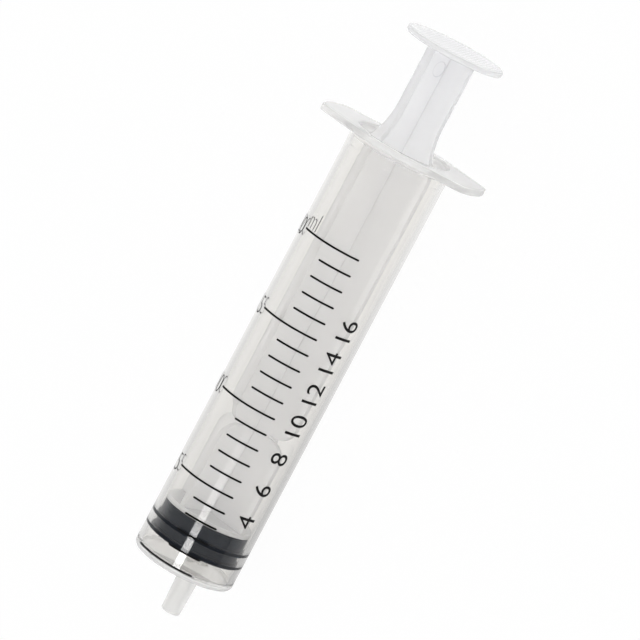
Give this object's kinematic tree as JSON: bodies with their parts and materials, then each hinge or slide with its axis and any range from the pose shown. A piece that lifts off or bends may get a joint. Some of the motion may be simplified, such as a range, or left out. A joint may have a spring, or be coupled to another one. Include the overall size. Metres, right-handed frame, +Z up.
{
  "type": "enteral syringe",
  "caption": "Disposable syringe with an off-centre slip nozzle, clear graduated barrel with finger flange, ribbed plunger rod with thumb disc, and a rubber stopper.",
  "frame": {"origin": "under the middle of the syringe as it lies on its side, at table height", "axes": "+X along the barrel from the nozzle to the thumb disc, +Y along the finger flange, +Z up"},
  "size_m": [0.1268, 0.036, 0.0218],
  "materials": {
    "clear_polypropylene": "clear moulded polypropylene, glossy and slightly milky",
    "milky_polypropylene": "natural moulded polypropylene, translucent, satin",
    "stopper_rubber": "moulded blue-grey rubber with a thin film of silicone oil",
    "scale_ink": "black printed ink"
  },
  "bodies": {
    "barrel": {"barrel": "clear_polypropylene", "scale_marks": "scale_ink"},
    "stopper": {"stopper": "stopper_rubber"},
    "rod": {"plunger_rod": "milky_polypropylene"}
  },
  "joints": [
    {"name": "plunger_slide", "type": "slide", "parent": "barrel", "child": "stopper", "axis": [1, 0, 0], "range_m": [-0.00333, 0.0803]},
    {"name": "rod_turn", "type": "hinge", "parent": "stopper", "child": "rod", "pos_m": [-0.04112, 0, 0.0109], "axis": [1, 0, 0], "continuous": true}
  ]
}
